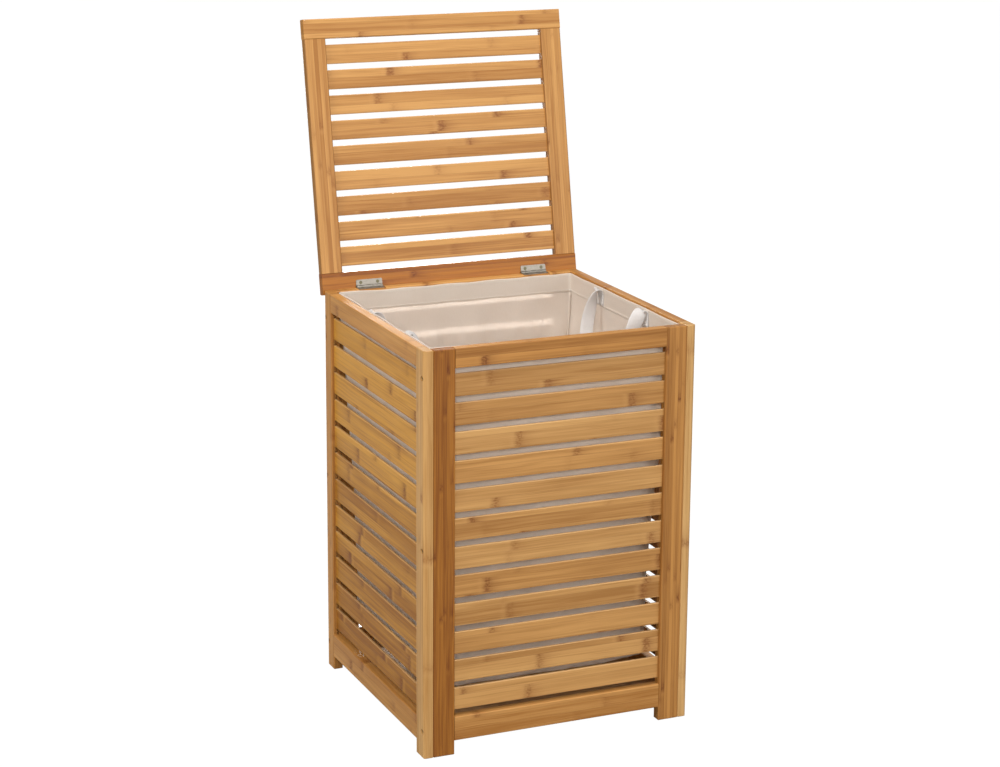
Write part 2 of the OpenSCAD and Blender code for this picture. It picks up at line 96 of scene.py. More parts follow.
def make_camera():
    azimuth, elevation, roll = (math.radians(angle) for angle in CAMERA_TURN)
    back = Vector((
        math.sin(azimuth) * math.cos(elevation),
        -math.cos(azimuth) * math.cos(elevation),
        math.sin(elevation),
    ))
    right = (-back).cross(Z_AXIS).normalized()
    up = right.cross(-back)
    turned_right = math.cos(roll) * right + math.sin(roll) * up
    turned_up = math.cos(roll) * up - math.sin(roll) * right
    data = bpy.data.cameras.new("camera")
    data.sensor_width = 36
    data.sensor_fit = "HORIZONTAL"
    data.lens = CAMERA_LENS
    data.shift_y = CAMERA_SHIFT
    data.clip_end = 50
    camera = bpy.data.objects.new("camera", data)
    axes = Matrix((turned_right, turned_up, back)).transposed()
    camera.matrix_world = Matrix.Translation(CAMERA_PLACE) @ axes.to_4x4()
    bpy.context.scene.collection.objects.link(camera)
    bpy.context.scene.camera = camera


# ---------------------------------------------------------------- node materials
def linear(red, green, blue):
    """Linear colour of an sRGB colour given in 0 to 255."""
    values = [c / 255 for c in (red, green, blue)]
    return [c / 12.92 if c <= 0.04045 else ((c + 0.055) / 1.055) ** 2.4 for c in values] + [1]


def tinted(colour, red, green, blue):
    """Colour with its red, green and blue multiplied."""
    return [c * share for c, share in zip(colour, (red, green, blue))] + [1]


class Shader:
    """One node material. Each call adds a node and returns its output."""

    def __init__(self, name):
        self.material = bpy.data.materials.new(name)
        self.material.use_nodes = True
        self.tree = self.material.node_tree
        self.tree.nodes.clear()
        self.output = self.tree.nodes.new("ShaderNodeOutputMaterial")
        self.coordinates = self.tree.nodes.new("ShaderNodeTexCoord")

    def add(self, kind, inputs, output=0, **settings):
        node = self.tree.nodes.new(kind)
        for key, value in settings.items():
            setattr(node, key, value)
        for key, value in inputs.items():
            if isinstance(value, bpy.types.NodeSocket):
                self.tree.links.new(value, node.inputs[key])
            else:
                node.inputs[key].default_value = value
        return node.outputs[output]

    def math(self, operation, *values):
        inputs = dict(enumerate(values))
        return self.add("ShaderNodeMath", inputs, operation=operation)

    def dot(self, vector, axis):
        inputs = {0: vector, 1: tuple(axis)}
        return self.add("ShaderNodeVectorMath", inputs, "Value", operation="DOT_PRODUCT")

    def combine(self, x, y, z):
        return self.add("ShaderNodeCombineXYZ", {0: x, 1: y, 2: z})

    def times(self, first, *others):
        for other in others:
            first = self.math("MULTIPLY", first, other)
        return first

    def noise(self, vector, detail=2.0):
        inputs = {"Vector": vector, "Scale": 1.0, "Detail": detail, "Roughness": 0.5}
        return self.add("ShaderNodeTexNoise", inputs)

    def texture(self, scale, detail):
        """Noise over the object, with the frequency along X, Y and Z."""
        place = self.coordinates.outputs["Object"]
        scaled = self.add("ShaderNodeVectorMath", {0: place, 1: scale}, operation="MULTIPLY")
        return self.noise(scaled, detail)

    def random(self, x, y, z):
        inputs = {"Vector": self.combine(x, y, z)}
        return self.add("ShaderNodeTexWhiteNoise", inputs, noise_dimensions="3D")

    def mix(self, factor, first, second):
        node = self.tree.nodes.new("ShaderNodeMix")
        node.data_type = "RGBA"
        for index, value in ((0, factor), (6, first), (7, second)):
            if isinstance(value, bpy.types.NodeSocket):
                self.tree.links.new(value, node.inputs[index])
            else:
                node.inputs[index].default_value = value
        return node.outputs[2]

    def around(self, value, amount):
        """Value from 0 to 1 as a swing of amount about zero."""
        return self.times(self.math("SUBTRACT", value, 0.5), amount)

    def total(self, first, *others):
        for other in others:
            first = self.math("ADD", first, other)
        return first

    def clamped(self, value):
        return self.math("MINIMUM", self.math("MAXIMUM", value, 0.0), 1.0)

    def bell(self, distance, width):
        """1 at distance 0, falling smoothly to 0 beyond about two widths."""
        ratio = self.math("DIVIDE", distance, width)
        return self.math("POWER", math.e, self.times(ratio, ratio, -1.0))

    def step(self, value, low, high):
        """0 below low, 1 above high and a smooth rise between them."""
        inputs = {"Value": value, "From Min": low, "From Max": high}
        return self.add("ShaderNodeMapRange", inputs, interpolation_type="SMOOTHSTEP")

    def bump(self, height, distance, strength):
        inputs = {"Height": height, "Distance": distance, "Strength": strength}
        return self.add("ShaderNodeBump", inputs)

    def finish(self, surface):
        self.tree.links.new(surface, self.output.inputs["Surface"])
        return self.material


GLUE_LINE_W = 0.0003  # line between two strips
KNOT_CORE_W = 0.0058
KNOT_HALO_W = 0.0140
KNOT_REACH = 0.016  # how far streaks run out from a knot
PALE_BAND_W = 0.0045  # paler band beside a knot


def bamboo(name, axes, seed, light, dark, strip, rows, variety, strip_variety, knots, edges):
    """Laminated bamboo with its grain along axes[0] and its strips side by side along axes[1].

    strip is the width of a strip and knots the distance between its knots. variety and
    strip_variety are how far the shades of boards and strips differ. rows is (start, pitch,
    slope) along axes[1] where one node holds several boards; slope makes each board lighter
    than the one before it, a painted shade that darkens the panel towards its foot. edges is
    (share, colour) of what is mixed into the long narrow faces, a painted highlight on the slats.
    """
    s = Shader(name)
    place = s.coordinates.outputs["Object"]
    u, v, w = (s.dot(place, axis) for axis in axes)
    if rows:
        start, pitch, painted_shade_slope = rows
        row = s.math("FLOOR", s.math("DIVIDE", s.math("SUBTRACT", v, start), pitch))
        board = s.math("ADD", row, seed)
        # Painted shade: each board lower in the panel is darker than the one above it
        level = s.times(s.math("SUBTRACT", row, (SLATS - 1) / 2), painted_shade_slope)
    else:
        board = s.math("ADD", 0.0, seed)
        level = 0.0
    board_random = s.random(board, 3.1, 0.7)
    strip_place = s.math("ADD", s.math("DIVIDE", v, strip), s.times(board_random, 9.0))
    strip_no = s.math("FLOOR", strip_place)
    strip_random = s.random(strip_no, board, 5.3)

    # Grain, drawn out along u, different in each strip
    bend = s.around(s.noise(s.combine(s.times(u, 7.0), s.times(v, 25.0), board)), 0.006)
    v_bent = s.math("ADD", v, bend)
    shifted = s.math("ADD", u, s.times(strip_random, 3.0))

    def along_grain(stretch, fineness, detail):
        return s.noise(s.combine(
            s.times(shifted, stretch),
            s.times(v_bent, fineness),
            s.times(w, fineness),
        ), detail)

    coarse = along_grain(4.0, 230.0, 3.0)
    fine = along_grain(14.0, 900.0, 2.0)
    cloud = along_grain(5.0, 40.0, 2.0)
    lines = s.step(along_grain(9.0, 520.0, 2.0), 0.54, 0.74)
    tone = s.clamped(s.total(
        s.math("ADD", 0.56, s.around(board_random, variety)),
        level,
        s.around(strip_random, strip_variety),
        s.around(coarse, 1.3),
        s.around(fine, 0.8),
        s.around(cloud, 1.0),
        s.times(lines, -0.35),
    ))
    colour = s.mix(tone, dark, light)

    # Glue lines between the strips
    from_middle = s.math("ABSOLUTE", s.math("SUBTRACT", strip_place, s.math("ADD", strip_no, 0.5)))
    glue = s.bell(s.times(s.math("SUBTRACT", 0.5, from_middle), strip), GLUE_LINE_W)
    colour = s.mix(s.times(glue, 0.25), colour, tinted(dark, 0.45, 0.45, 0.45))

    # Knots: a blotchy brown core across the strip, a halo, streaks and a pale band
    cells = s.math("ADD", s.math("DIVIDE", u, knots), s.times(strip_random, 7.0))
    cell = s.math("FLOOR", cells)
    jitter = s.random(cell, strip_no, board)
    offset = s.math(
        "SUBTRACT", s.math("SUBTRACT", cells, cell), s.math("ADD", 0.5, s.around(jitter, 0.6)))
    wobble = s.around(s.noise(s.combine(s.times(v, 130.0), s.times(w, 130.0), cell)), 0.007)
    distance = s.math("ADD", s.times(offset, knots), wobble)
    speckle = s.noise(s.combine(s.times(u, 230.0), s.times(v, 420.0), s.times(w, 420.0)), 3.0)
    blotches = s.math("ADD", 0.25, s.times(s.step(speckle, 0.38, 0.66), 0.75))
    core = s.times(s.bell(distance, KNOT_CORE_W), blotches)
    halo = s.times(s.bell(s.math("SUBTRACT", distance, 0.005), KNOT_HALO_W), 0.32)
    streaks = s.times(s.bell(distance, KNOT_REACH), s.times(lines, 0.5))
    strength = s.math("POWER", s.random(jitter, strip_no, 8.8), 1.25)
    knot = s.math("MINIMUM", s.times(strength, s.total(core, halo, streaks)), 0.9)
    colour = s.mix(knot, colour, tinted(dark, 0.62, 0.46, 0.36))
    pale = s.times(strength, s.bell(s.math("ADD", distance, 0.009), PALE_BAND_W))
    colour = s.mix(s.times(pale, 0.45), colour, light)

    # Long narrow faces, which take the edges colour (a painted highlight on the slats), and sawn ends
    # with open pores
    normal = s.coordinates.outputs["Normal"]
    sideways = s.step(s.math("ABSOLUTE", s.dot(normal, axes[1])), 0.25, 0.7)
    edge_share, edge_colour = edges
    colour = s.mix(s.times(sideways, edge_share), colour, edge_colour)
    sawn_end = s.step(s.math("ABSOLUTE", s.dot(normal, axes[0])), 0.6, 0.9)
    pores = s.noise(s.combine(s.times(v, 1500.0), s.times(w, 1500.0), 0.0), 1.0)
    end_colour = s.mix(pores, tinted(dark, 0.5, 0.5, 0.5), dark)
    colour = s.mix(s.times(sawn_end, 0.3), colour, end_colour)

    height = s.total(s.times(fine, 0.5), coarse, s.times(glue, -0.6), s.times(knot, -0.6))
    return s.finish(s.add("ShaderNodeBsdfPrincipled", {
        "Base Color": colour,
        "Roughness": s.math("ADD", 0.46, s.around(coarse, 0.25)),
        "Specular IOR Level": 0.35,
        "Coat Weight": 0.08,
        "Coat Roughness": 0.35,
        "Normal": s.bump(height, 0.00025, 0.4),
    }))


def threads(s, pitch):
    """Height of a plain weave on the faces that look along X, Y or Z."""
    place = s.coordinates.outputs["Object"]
    normal = s.coordinates.outputs["Normal"]
    axes = (X_AXIS, Y_AXIS, Z_AXIS)
    waves = [s.math("SINE", s.times(s.dot(place, axis), 2 * math.pi / pitch)) for axis in axes]
    weights = [s.math("ABSOLUTE", s.dot(normal, axis)) for axis in axes]
    pairs = ((1, 2), (0, 2), (0, 1))
    return s.total(*(s.times(waves[a], waves[b], weight) for (a, b), weight in zip(pairs, weights)))


def fabric(name, light, dark, pitch, through):
    """Woven cloth with its threads at a pitch; through is the share of light that it lets through."""
    s = Shader(name)
    weave = threads(s, pitch)
    slub = s.texture((900.0, 900.0, 160.0), 2.0)
    cloud = s.texture((18.0, 18.0, 14.0), 3.0)
    tone = s.clamped(s.total(0.5, s.times(weave, 0.12), s.around(slub, 0.5), s.around(cloud, 0.7)))
    colour = s.mix(tone, dark, light)
    normal = s.bump(s.total(s.times(weave, 0.5), slub), 0.0002, 0.5)
    front = s.add("ShaderNodeBsdfPrincipled", {
        "Base Color": colour,
        "Roughness": s.math("ADD", 0.8, s.around(slub, 0.15)),
        "Specular IOR Level": 0.25,
        "Sheen Weight": 0.2,
        "Sheen Roughness": 0.5,
        "Normal": normal,
    })
    paler = s.mix(0.5, colour, (1, 1, 1, 1))
    back = s.add("ShaderNodeBsdfTranslucent", {"Color": paler, "Normal": normal})
    return s.finish(s.add("ShaderNodeMixShader", {0: through, 1: front, 2: back}))


def steel(name, light, dark, roughness):
    """Zinc-plated steel with fine scratches and a cloudy tarnish."""
    s = Shader(name)
    scratch = s.texture((60.0, 900.0, 900.0), 3.0)
    cloud = s.texture((220.0, 220.0, 220.0), 3.0)
    tone = s.clamped(s.total(0.5, s.around(scratch, 0.5), s.around(cloud, 0.9)))
    return s.finish(s.add("ShaderNodeBsdfPrincipled", {
        "Base Color": s.mix(tone, dark, light),
        "Metallic": 1.0,
        "Roughness": s.math("ADD", roughness, s.around(cloud, 0.2)),
        "Normal": s.bump(scratch, 0.00005, 0.3),
    }))


def plywood(name, light, dark):
    """Thin board with long figure along X."""
    s = Shader(name)
    figure = s.texture((6.0, 90.0, 90.0), 4.0)
    fine = s.texture((40.0, 1200.0, 1200.0), 2.0)
    tone = s.clamped(s.total(0.5, s.around(figure, 1.2), s.around(fine, 0.5)))
    return s.finish(s.add("ShaderNodeBsdfPrincipled", {
        "Base Color": s.mix(tone, dark, light),
        "Roughness": s.math("ADD", 0.6, s.around(fine, 0.2)),
        "Normal": s.bump(fine, 0.0002, 0.4),
    }))


def nap(name, light, dark):
    """Hook-and-loop tape, a dense field of small loops."""
    s = Shader(name)
    loops = s.texture((1400.0, 1400.0, 1400.0), 2.0)
    return s.finish(s.add("ShaderNodeBsdfPrincipled", {
        "Base Color": s.mix(loops, dark, light),
        "Roughness": s.math("ADD", 0.85, s.around(loops, 0.2)),
        "Normal": s.bump(loops, 0.0006, 0.8),
    }))


def floor_paint(name):
    """Pale studio floor, which the camera sees almost as white as the surroundings."""
    s = Shader(name)
    cloud = s.texture((2.0, 2.0, 2.0), 2.0)
    paint = s.add("ShaderNodeBsdfPrincipled", {
        "Base Color": s.mix(cloud, linear(144, 142, 140), linear(152, 150, 148)),
        "Roughness": 0.9,
        "Specular IOR Level": 0.1,
    })
    glow = s.add("ShaderNodeEmission", {"Color": (1, 1, 1, 1), "Strength": 1.08})
    seen = s.add("ShaderNodeLightPath", {}, "Is Camera Ray")
    return s.finish(s.add("ShaderNodeMixShader", {0: s.times(seen, 0.93), 1: paint, 2: glow}))


# ---------------------------------------------------------------- wood of each board
HONEY = (linear(200, 147, 82), linear(160, 105, 44))
PALE = (linear(210, 166, 106), linear(174, 126, 68))
DEEP = (linear(182, 120, 42), linear(128, 72, 14))
MIDDLE = (linear(188, 132, 66), linear(142, 90, 34))
ORANGE = (linear(174, 110, 36), linear(132, 72, 12))
SHADED = (linear(202, 146, 58), linear(144, 88, 12))
PAINTED_EDGE_HIGHLIGHT = linear(222, 184, 134)  # painted highlight on the long narrow faces of the slats, where light catches their eased edges

# Shade of each front slat from the top, from 0, deep, to 1, pale
FRONT_SLAT_SHADES = (0.55, 0.35, 0.6, 0.3, 0.55, 0.4, 0.6, 0.3, 0.5, 0.35, 0.5, 0.45)


def between(first, second, share):
    """Light and dark colour part of the way from one pair to another."""
    return [tuple(a + (b - a) * share for a, b in zip(one, two)) for one, two in zip(first, second)]


def board_axes(name):
    """Directions along the grain, across it and into the board, with the lid at rest."""
    upright = "stile" in name
    if name.startswith("lid"):
        return (LID_UP, X_AXIS, LID_BACK) if upright else (X_AXIS, LID_UP, LID_BACK)
    if name.startswith(("left_panel", "right_panel")):
        return (Z_AXIS, Y_AXIS, X_AXIS) if upright else (Y_AXIS, Z_AXIS, X_AXIS)
    return (Z_AXIS, X_AXIS, Y_AXIS) if upright else (X_AXIS, Z_AXIS, Y_AXIS)


def board_finish(name):
    """Colours, width of the strips and distance between knots of a wooden node."""
    if name in ("left_panel_front_stile", "right_panel_front_stile"):
        return PALE, 0.007, 0.3
    if name == "front_panel_left_stile":
        return DEEP, 0.005, 0.22
    if name == "front_panel_right_stile":
        return MIDDLE, 0.005, 0.22
    if name == "lid_hinge_rail":
        return ORANGE, 0.010, 0.2
    if name.startswith("front_slat"):
        shade = FRONT_SLAT_SHADES[int(name[-2:]) - 1]
        return between(MIDDLE, PALE, shade), 0.021, 0.2
    if name == "front_panel_top_rail":
        return MIDDLE, 0.013, 0.2
    if name == "left_panel_slats":
        return SHADED, 0.021, 0.2
    if "slat" in name:
        return HONEY, 0.015, 0.2
    if "stile" in name:
        return HONEY, 0.006, 0.24
    return HONEY, 0.014, 0.2


def board_edges(name, dark):
    """Share and colour mixed into a board's long narrow faces."""
    if name.startswith("lid") and "stile" in name:
        return 0.55, tinted(dark, 0.45, 0.45, 0.45)
    # Slats: a painted highlight on their long narrow faces
    if "slat" in name:
        return 0.4, PAINTED_EDGE_HIGHLIGHT
    return 0.0, dark


def finish_wood():
    wooden = [name for name in sorted(NODES) if any(kind in name for kind in ("stile", "rail", "slat"))]
    for number, name in enumerate(wooden):
        (light, dark), strip, knots = board_finish(name)
        # Painted shade: the left panel's slats darken board by board towards its foot
        painted_shade_slope = 0.06 if name.startswith("left") else 0.0
        many = name.endswith("_slats")
        give(NODES[name], bamboo(
            "bamboo_" + name, board_axes(name), 11.7 * number + 3, light, dark, strip=strip,
            rows=(LOWEST_SLAT - SLAT_MARGIN, SLAT_PITCH, painted_shade_slope) if many else None,
            variety=0.3 if many else 0.2, strip_variety=0.45 if many else 0.7,
            knots=knots, edges=board_edges(name, dark),
        ))


def give(piece, material):
    piece.data.materials.clear()
    piece.data.materials.append(material)


# ---------------------------------------------------------------- meshes
def new_mesh(name, points, faces):
    """Smoothly shaded piece in the scene."""
    mesh = bpy.data.meshes.new(name)
    mesh.from_pydata([tuple(p) for p in points], [], faces)
    mesh.update()
    piece = bpy.data.objects.new(name, mesh)
    bpy.context.scene.collection.objects.link(piece)
    mesh.shade_smooth()
    return piece


def modify(piece, kind, **settings):
    """Adds a modifier, applies it and removes it."""
    modifier = piece.modifiers.new(kind.lower(), kind)
    for key, value in settings.items():
        setattr(modifier, key, value)
    graph = bpy.context.evaluated_depsgraph_get()
    mesh = bpy.data.meshes.new_from_object(piece.evaluated_get(graph))
    piece.modifiers.clear()
    old = piece.data
    piece.data = mesh
    bpy.data.meshes.remove(old)


def smooth_step(low, high, value):
    """0 at low, 1 at high and a smooth rise between them; low may be the greater one."""
    t = min(1, max(0, (value - low) / (high - low)))
    return t * t * (3 - 2 * t)


def outline(across, deep):
    """Points round a square from -1 to 1, anticlockwise from above."""
    points = []
    for i in range(across):
        points.append((-1 + 2 * i / across, -1))
    for i in range(deep):
        points.append((1, -1 + 2 * i / deep))
    for i in range(across):
        points.append((1 - 2 * i / across, 1))
    for i in range(deep):
        points.append((-1, 1 - 2 * i / deep))
    return points


def rounded(x, y, half_x, half_y, radius):
    """The outline's point (x, y) on a rounded rectangle, and the way out from there."""
    px, py = x * half_x, y * half_y
    cx = max(radius - half_x, min(half_x - radius, px))
    cy = max(radius - half_y, min(half_y - radius, py))
    dx, dy = px - cx, py - cy
    d = math.hypot(dx, dy)
    return cx + dx / d * radius, cy + dy / d * radius, dx / d, dy / d


def rim_wave(x, y):
    """How far the mouth of the liner stands in between the places where it is held."""
    return 0.0007 * (1 + math.sin(13 * x + 3) * math.sin(11 * y + 1))


def liner_inset(x, y, z):
    """How far the liner's wall stands in from its straight outer face at a place."""
    below_hem = smooth_step(LINER_TOP - HEM_H, LINER_TOP - 0.10, z)
    drawn_in = 0.005 * below_hem + 0.012 * smooth_step(0.46, LINER_BOTTOM, z)
    along = x if abs(y) > abs(x) else y
    bow = -0.003 * below_hem * (1 - along * along)
    right_front = smooth_step(0.3, 1.0, x) * smooth_step(-0.3, -1.0, y)
    slack = 0.011 * right_front * smooth_step(0.47, 0.25, z)
    folds = 0.0016 * below_hem * (
        1 + math.sin(11 * x + 7 * y + 9 * z) * math.sin(5 * x - 8 * y + 4))
    crinkle = 0.0016 * below_hem * noise.noise(Vector((14 * x, 14 * y, 22 * z)))
    fine = 0.0006 * below_hem * noise.noise(Vector((45 * x, 45 * y, 60 * z + 7)))
    return drawn_in + bow + slack + folds + crinkle + fine + rim_wave(x, y)


def corner_radius(x, y, z):
    """Radius of the liner's upright corners, which round off as the cloth hangs lower."""
    if x > 0 > y:
        return LINER_R + 0.035 * smooth_step(0.50, 0.37, z)
    return LINER_R + 0.022 * smooth_step(0.53, 0.27, z)


def liner_point(x, y, z, extra):
    """Point of the liner's wall, extra further in. The mouth rides up a little on the left."""
    inset = liner_inset(x, y, z)
    px, py, nx, ny = rounded(x, y, LINER_X, LINER_Y, corner_radius(x, y, z))
    raised = LEFT_LIFT * smooth_step(-0.6, -1.0, x) * smooth_step(LINER_TOP - HEM_H, LINER_TOP, z)
    return Vector((px - nx * (inset + extra), py - ny * (inset + extra), z + raised))


def make_liner():
    """One layer of cloth: four walls and a bottom that sags between its seams."""
    across, deep, levels = 92, 88, 110
    ring = outline(across, deep)
    count = len(ring)
    points, faces = [], []
    for level in range(levels + 1):
        z = LINER_TOP + (LINER_BOTTOM - LINER_TOP) * level / levels
        points += [liner_point(x, y, z, CLOTH_T / 2) for x, y in ring]
    for level in range(levels):
        for i in range(count):
            j = (i + 1) % count
            a, b = level * count, (level + 1) * count
            faces.append((a + i, b + i, b + j, a + j))
    last = levels * count
    index = {}
    for i in range(across + 1):
        for j in range(deep + 1):
            x, y = -1 + 2 * i / across, -1 + 2 * j / deep
            if i in (0, across) or j in (0, deep):
                index[i, j] = last + ring_index(i, j, across, deep)
                continue
            m = max(abs(x), abs(y))
            edge = liner_point(x / m, y / m, LINER_BOTTOM, CLOTH_T / 2) if m > 0 else Vector()
            sag = LINER_SAG * (1 - m * m) + 0.003 * noise.noise(Vector((9 * x, 9 * y, 3))) * (1 - m)
            index[i, j] = len(points)
            points.append(Vector((edge.x * m, edge.y * m, LINER_BOTTOM - sag)))
    for i in range(across):
        for j in range(deep):
            faces.append((index[i, j], index[i, j + 1], index[i + 1, j + 1], index[i + 1, j]))
    liner = new_mesh("liner_cloth", points, faces)
    modify(liner, "SOLIDIFY", thickness=CLOTH_T, offset=0.0)
    liner.data.shade_smooth()
    return liner


def ring_index(i, j, across, deep):
    """Place in outline(across, deep) of the grid's border point (i, j)."""
    if j == 0 and i < across:
        return i
    if i == across and j < deep:
        return across + j
    if j == deep and i > 0:
        return across + deep + across - i
    return 2 * across + deep + deep - j


HEM_PROFILE = (  # inset from the liner's outer face and height above the hem's lower edge
    (0.0007, 0.0002), (0.0009, -0.0002), (0.0012, 0.0003), (0.0012, 0.0030), (0.0014, 0.0090),
    (0.0014, 0.0180), (0.0012, 0.0240), (0.0014, 0.0262), (0.0013, 0.0274), (0.0005, 0.0279),
    (-0.0003, 0.0275), (-0.0005, 0.0262), (-0.0002, 0.0250), (0.0001, 0.0262), (0.0005, 0.0266),
    (0.0007, 0.0258),
)


def make_hem():
    """Folded band sewn round the inside of the mouth and over its edge."""
    ring = outline(120, 116)
    points = [
        liner_point(x, y, LINER_TOP - HEM_H + rise, inset)
        for inset, rise in HEM_PROFILE for x, y in ring
    ]
    for index, (x, y) in enumerate(list(ring) * len(HEM_PROFILE)):
        points[index].z += 0.0004 * math.sin(17 * x + 9 * y)
    return new_mesh("liner_hem_band", points, tube_faces(len(HEM_PROFILE), len(ring), closed=True))


def tube_faces(rows, columns, closed):
    """Faces between rings of points; closed also joins the last ring to the first."""
    faces = []
    for row in range(rows if closed else rows - 1):
        a, b = row * columns, (row + 1) % rows * columns
        for i in range(columns):
            j = (i + 1) % columns
            faces.append((a + i, a + j, b + j, b + i))
    return faces


def smooth_path(knots, steps):
    """Points along a Catmull-Rom curve through the knots."""
    ends = [2 * knots[0] - knots[1], *knots, 2 * knots[-1] - knots[-2]]
    points = []
    for a, b, c, d in zip(ends, ends[1:], ends[2:], ends[3:]):
        for step in range(steps):
            t = step / steps
            points.append(0.5 * (
                2 * b + (c - a) * t + (2 * a - 5 * b + 4 * c - d) * t * t
                + (3 * b - a - 3 * c + d) * t * t * t))
    return points + [knots[-1]]


def make_seams():
    """Seam allowance along each upright corner, turned against the side wall."""
    points, faces = [], []
    levels = 60
    top = LINER_TOP - HEM_H - 0.001  # just below the hem
    bottom = LINER_BOTTOM + 0.003  # just above the bottom
    for sx, sy in ((1, 1), (1, -1), (-1, 1), (-1, -1)):
        start = len(points)
        lean = Vector((-sx, -2.6 * sy, 0)).normalized()
        off = Vector((-sy * lean.y * sx, sy * lean.x * sx, 0)) * SEAM_T / 2
        for level in range(levels + 1):
            z = top + (bottom - top) * level / levels
            foot = liner_point(sx, sy, z, CLOTH_T)
            tip = foot + lean * (SEAM_W + 0.0004 * math.sin(150 * z + sx))
            points += [foot - off, tip - off, tip + lean * SEAM_T / 2, tip + off, foot + off]
        for level in range(levels):
            for i in range(5):
                a = start + 5 * level + i
                b = start + 5 * level + (i + 1) % 5
                faces.append((a, b, b + 5, a + 5))
        faces.append(tuple(start + i for i in range(5))[::-1])
        faces.append(tuple(start + 5 * levels + i for i in range(5)))
    return new_mesh("liner_seams", points, faces)


# One leg of a handle: inset from the hem's face, way along the handle, height, quarter turns
LEG = (
    (0.0008, 0.000, 0.5430, 0.0), (0.0008, 0.000, 0.5520, 0.0), (0.0010, 0.000, 0.5600, 0.0),
    (0.0024, 0.000, 0.5640, 0.1), (0.0058, 0.001, 0.5652, 0.3), (0.0096, 0.001, 0.5610, 0.5),
    (0.0136, 0.002, 0.5520, 0.7), (0.0186, 0.004, 0.5390, 0.9), (0.0246, 0.008, 0.5220, 1.0),
    (0.0304, 0.016, 0.5030, 1.0), (0.0346, 0.028, 0.4860, 1.0), (0.0370, 0.045, 0.4750, 1.0),
    (0.0378, 0.065, 0.4710, 1.0),
)
HANDLE_PROFILE = (  # across the width and the thickness of the webbing, as shares of them
    (-0.5, -0.3), (-0.48, -0.5), (-0.2, -0.5), (0.2, -0.5), (0.48, -0.5), (0.5, -0.3),
    (0.5, 0.3), (0.48, 0.5), (0.2, 0.5), (-0.2, 0.5), (-0.48, 0.5), (-0.5, 0.3),
)
HANDLE_STEPS = 4  # pieces of path between two knots of a leg


def make_handle(name, side, first_y, last_y, lift):
    """Webbing sewn to the hem at both ends, which flops inwards and hangs in a loop; and its length."""
    middle = (first_y + last_y) / 2
    half = abs(first_y - middle)
    knots, turns = [], []
    for end in (1, -1):
        leg = [
            Vector((side * (HEM_FACE_X - inset), middle + end * (half - way),
                    z + lift * smooth_step(0.545, 0.565, z)))
            for inset, way, z, _ in LEG
        ]
        turning = [turn if end == 1 else 2 - turn for _, _, _, turn in LEG]
        knots += leg if end == 1 else leg[::-1]
        turns += turning if end == 1 else turning[::-1]
    path = smooth_path(knots, HANDLE_STEPS)
    count = len(path)
    points = []
    for i, centre in enumerate(path):
        tangent = (path[min(i + 1, count - 1)] - path[max(i - 1, 0)]).normalized()
        knot, part = divmod(i, HANDLE_STEPS)
        after = turns[min(knot + 1, len(turns) - 1)]
        angle = (turns[knot] + (after - turns[knot]) * part / HANDLE_STEPS) * math.pi / 2
        wide = Vector((side * math.sin(angle), math.cos(angle), 0))
        wide = (wide - tangent * wide.dot(tangent)).normalized()
        thick = tangent.cross(wide)
        points += [centre + wide * (HANDLE_W * a) + thick * (HANDLE_T * b) for a, b in HANDLE_PROFILE]
    columns = len(HANDLE_PROFILE)
    faces = tube_faces(count, columns, closed=False)
    faces += [tuple(range(columns))[::-1], tuple(range((count - 1) * columns, count * columns))]
    handle = new_mesh(name, points, faces)
    length = sum((b - a).length for a, b in zip(path, path[1:]))
    return handle, length


def stitch(points, faces, centre, along, out):
    """Adds one stitch, a short thread that dips into the cloth at both ends."""
    start = len(points)
    across = along.cross(out)
    for step, size in ((-0.5, 0.35), (-0.25, 1.0), (0.25, 1.0), (0.5, 0.35)):
        middle = centre + along * (STITCH_L * step) + out * (0.00022 * (size - 0.4))
        for corner in range(6):
            angle = corner * math.pi / 3
            points.append(middle + THREAD_R * size * (math.cos(angle) * across + math.sin(angle) * out))
    for ring in range(3):
        for corner in range(6):
            a = start + 6 * ring + corner
            b = start + 6 * ring + (corner + 1) % 6
            faces.append((a, b, b + 6, a + 6))
    faces.append(tuple(start + k for k in range(6))[::-1])
    faces.append(tuple(start + 18 + k for k in range(6)))


def stitch_line(points, faces, here, after, out):
    """Adds evenly spaced stitches from one point to another."""
    along = after - here
    spaces = max(1, round(along.length / STITCH_PITCH))
    along.normalize()
    out = (out - along * out.dot(along)).normalized()
    for k in range(spaces):
        stitch(points, faces, here.lerp(after, (k + 0.5) / spaces), along, out)


def make_stitches():
    """Two rows of stitches round the hem and a crossed square on each handle's end."""
    points, faces = [], []
    ring = outline(92, 88)
    for rise in STITCH_ROWS:
        z = LINER_TOP - HEM_H + rise
        row = [liner_point(x, y, z, HEM_STITCH_INSET) for x, y in ring]
        for here, after in zip(row, row[1:] + row[:1]):
            stitch_line(points, faces, here, after, Vector((-here.x, -here.y, 0)))
    half_w, half_h = HANDLE_PATCH
    for _, side, first_y, last_y, _ in HANDLES:
        for y in (first_y, last_y):
            corners = [
                Vector((side * (HEM_FACE_X - HANDLE_FACE), y + a * half_w, HANDLE_PATCH_Z + b * half_h))
                for a, b in ((-1, -1), (1, -1), (1, 1), (-1, 1))
            ]
            for start, end in ((0, 1), (1, 2), (2, 3), (3, 0), (0, 2), (1, 3)):
                stitch_line(points, faces, corners[start], corners[end], Vector((-side, 0, 0)))
    return new_mesh("liner_stitches", points, faces)


